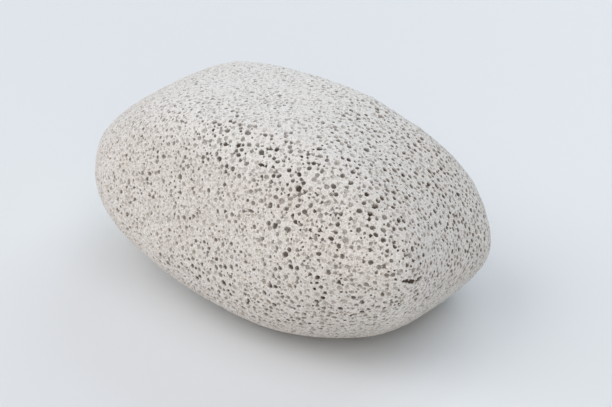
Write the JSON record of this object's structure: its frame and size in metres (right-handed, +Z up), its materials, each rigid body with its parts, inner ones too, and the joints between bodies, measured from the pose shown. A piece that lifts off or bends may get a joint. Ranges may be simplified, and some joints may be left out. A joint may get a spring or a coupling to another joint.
{
  "type": "pumice stone",
  "caption": "Rounded, water-worn block of pale porous volcanic pumice, covered in open pores, lying on its flat underside.",
  "frame": {"origin": "on the flat underside, below the middle of the stone's length and width", "axes": "+X along the stone towards its nose, +Z up from the flat underside, and the stone's broad pale front faces -Y"},
  "size_m": [0.095, 0.0562, 0.0427],
  "materials": {
    "pumice": "matte, rough and open-pored"
  },
  "bodies": {
    "root": {"pumice_stone": "pumice"}
  },
  "joints": []
}
